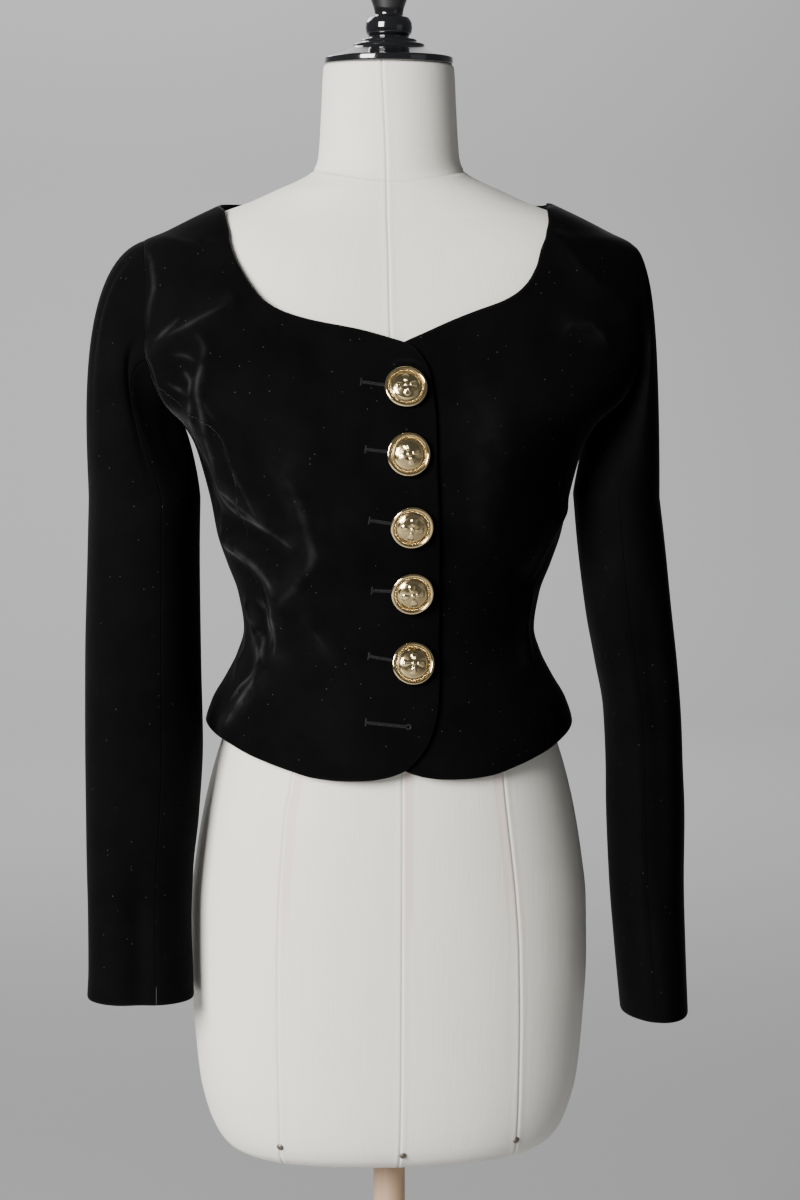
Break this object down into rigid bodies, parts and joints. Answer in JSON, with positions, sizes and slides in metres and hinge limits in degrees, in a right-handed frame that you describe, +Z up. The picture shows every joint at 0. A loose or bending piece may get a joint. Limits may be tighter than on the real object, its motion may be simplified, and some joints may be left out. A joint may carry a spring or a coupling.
{
  "type": "velvet blazer on dress form",
  "caption": "Fitted cropped black velvet blazer with gilt buttons and long sleeves, worn by a limbless canvas dress form on a pole and round base.",
  "frame": {"origin": "centre of the base's flat underside, on the pole's axis", "axes": "+Z up along the pole, -Y is the front of the jacket, +X is the wearer's left"},
  "size_m": [0.5065, 0.4, 1.5837],
  "materials": {
    "velvet": "black cotton velvet, dull with a soft sheen on the folds",
    "canvas": "stretched ivory canvas, matt",
    "lacquer": "gloss black lacquer",
    "pole": "pale varnished wood",
    "gilt": "polished pale gilt",
    "stud": "dull metal"
  },
  "bodies": {
    "root": {"base": "lacquer", "pole": "pole", "form": "canvas", "neck_cap": "lacquer", "stud_1": "stud", "stud_2": "stud", "stud_3": "stud", "front_right": "velvet", "front_left": "velvet", "side_right": "velvet", "side_left": "velvet", "back": "velvet", "top_sleeve_right": "velvet", "top_sleeve_left": "velvet", "under_sleeve_right": "velvet", "under_sleeve_left": "velvet", "button_1": "gilt", "button_2": "gilt", "button_3": "gilt", "button_4": "gilt", "button_5": "gilt"}
  },
  "joints": []
}
